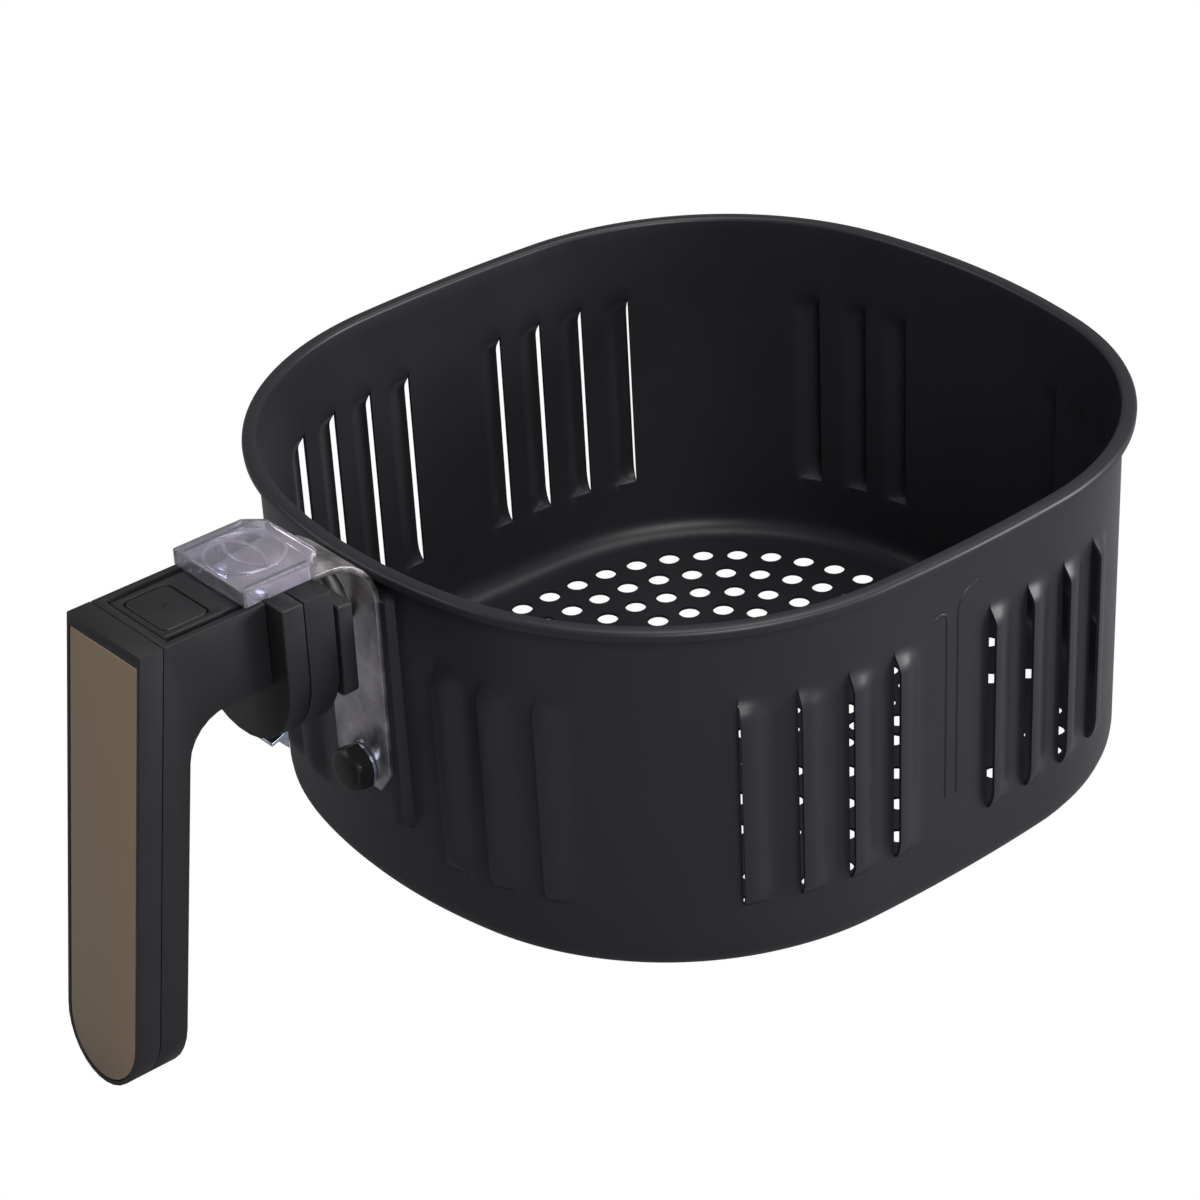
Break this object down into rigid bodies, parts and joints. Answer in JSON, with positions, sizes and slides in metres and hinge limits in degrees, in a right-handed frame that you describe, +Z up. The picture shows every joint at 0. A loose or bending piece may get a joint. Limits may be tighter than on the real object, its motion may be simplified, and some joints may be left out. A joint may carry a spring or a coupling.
{
  "type": "air fryer basket",
  "caption": "Perforated air fryer basket with louvred walls, an L-shaped handle, a release button and a sliding clear guard.",
  "frame": {"origin": "middle of the basket's flat underside, which lies on z = 0", "axes": "+Z up, the handle points along -Y, +X to the right seen from the handle"},
  "size_m": [0.2138, 0.315, 0.1299],
  "materials": {
    "black_coated_steel": "satin black non-stick coating",
    "bare_steel": "bare mill finish, faintly stained at the bend",
    "zinc_plate": "bright zinc plate",
    "brass": "plain brass",
    "black_plastic": "fine matt texture",
    "black_cap": "semi-gloss black",
    "bronze_insert": "satin bronze lacquer",
    "clear_plastic": "clear, polished"
  },
  "bodies": {
    "basket": {"arm_screw_1": "zinc_plate", "arm_screw_2": "zinc_plate", "basket_shell": "black_coated_steel", "button_spring": "zinc_plate", "cap_nut": "black_cap", "collar_front": "black_plastic", "collar_rear": "black_plastic", "collar_screw_1": "zinc_plate", "collar_screw_2": "zinc_plate", "grip_cover": "black_plastic", "grip_screw_1": "zinc_plate", "grip_screw_2": "zinc_plate", "handle_body": "black_plastic", "hook_flange": "black_plastic", "insert_plate": "bronze_insert", "latch_spring": "zinc_plate", "lever_pin": "zinc_plate", "mounting_strap": "bare_steel", "screw_insert_1": "brass", "screw_insert_2": "brass", "strap_bolt": "zinc_plate", "strap_screw_1": "zinc_plate", "strap_screw_2": "zinc_plate", "strap_washer": "zinc_plate", "top_deck": "black_plastic"},
    "button": {"release_button": "black_plastic"},
    "lever": {"release_lever": "black_plastic"},
    "latch": {"latch_hook": "zinc_plate"},
    "guard": {"guard_slider": "clear_plastic"}
  },
  "joints": [
    {"name": "guard_slide", "type": "slide", "parent": "basket", "child": "guard", "axis": [0, -1, 0], "range_m": [0, 0.023]},
    {"name": "button_press", "type": "slide", "parent": "basket", "child": "button", "axis": [0, 0, -1], "range_m": [0, 0.0024], "stiffness_N_per_m": 300, "springref_m": -0.004, "deforming": ["button_spring"]},
    {"name": "lever_tilt", "type": "hinge", "parent": "basket", "child": "lever", "pos_m": [0, -0.15, 0.09625], "axis": [1, 0, 0], "range_deg": [0, 12]},
    {"name": "latch_lift", "type": "slide", "parent": "basket", "child": "latch", "axis": [0, 0, 1], "range_m": [0, 0.003], "deforming": ["latch_spring"]}
  ],
  "couplings": [
    {"joint": "lever_tilt", "follows": "button_press", "rad_per_m": 86},
    {"joint": "latch_lift", "follows": "button_press", "ratio": 1.214}
  ]
}
